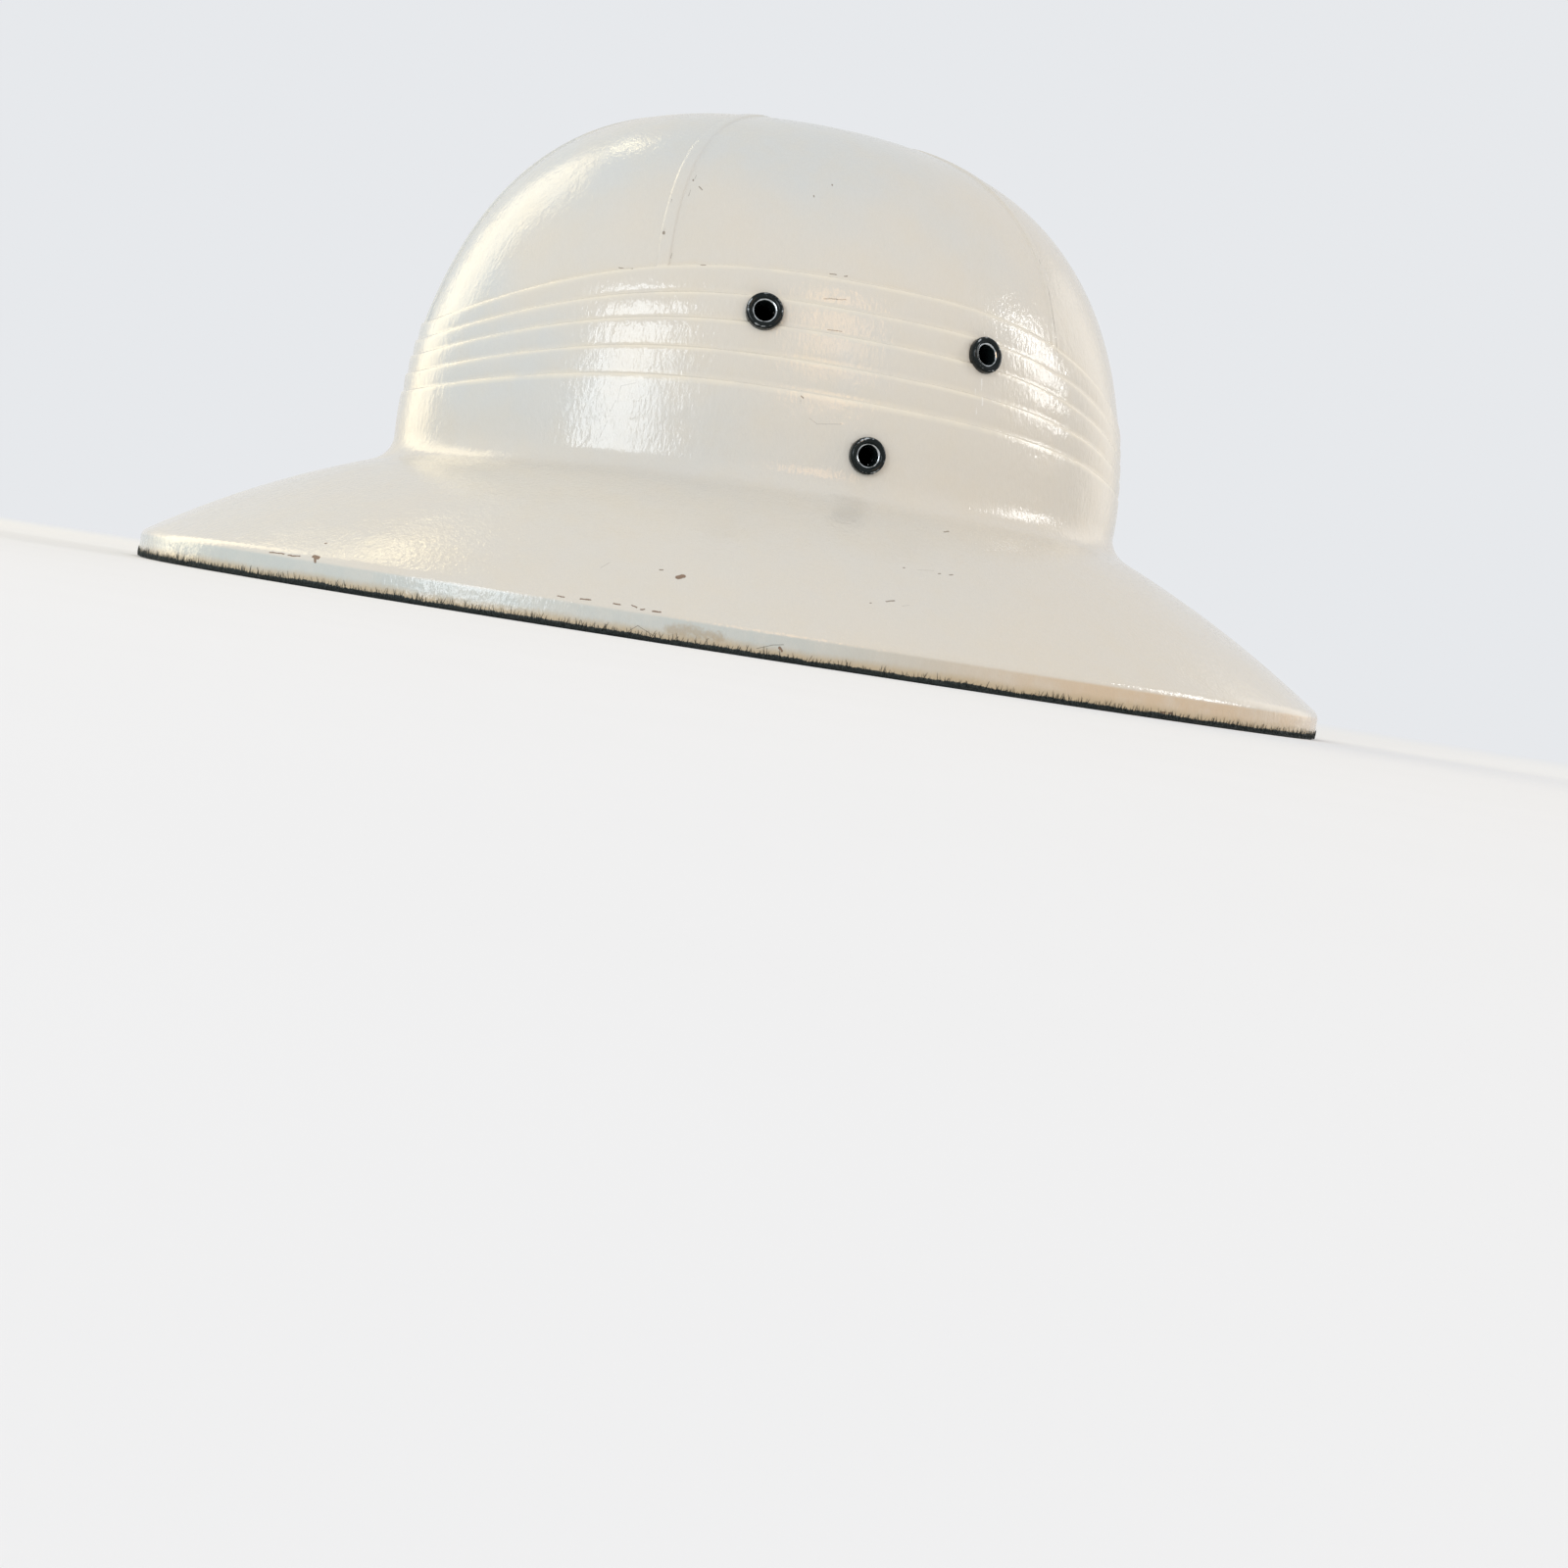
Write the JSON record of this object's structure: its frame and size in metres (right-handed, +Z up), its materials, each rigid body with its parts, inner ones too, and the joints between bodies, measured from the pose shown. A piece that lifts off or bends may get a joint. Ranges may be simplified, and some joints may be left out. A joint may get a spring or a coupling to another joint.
{
  "type": "pith helmet",
  "caption": "Glossy off-white sun helmet: one pressed fibre shell with a domed crown, pleated band, sloping brim and turned-down lip, vented by small eyelets.",
  "frame": {"origin": "centre of the lip's flat lower edge, on the surface that the helmet rests on", "axes": "+Z up, -Y towards the front of the helmet, +X towards the wearer's left"},
  "size_m": [0.2754, 0.335, 0.1465],
  "materials": {
    "shell_paint": "gloss off-white paint on pressed fibre, dark green inside",
    "eyelet_enamel": "dark green-black enamel on rolled metal, slightly worn"
  },
  "bodies": {
    "root": {"shell": "shell_paint", "eyelet_left_front": "eyelet_enamel", "eyelet_left_rear": "eyelet_enamel", "eyelet_left_low": "eyelet_enamel", "eyelet_right_front": "eyelet_enamel", "eyelet_right_rear": "eyelet_enamel", "eyelet_right_low": "eyelet_enamel"}
  },
  "joints": []
}
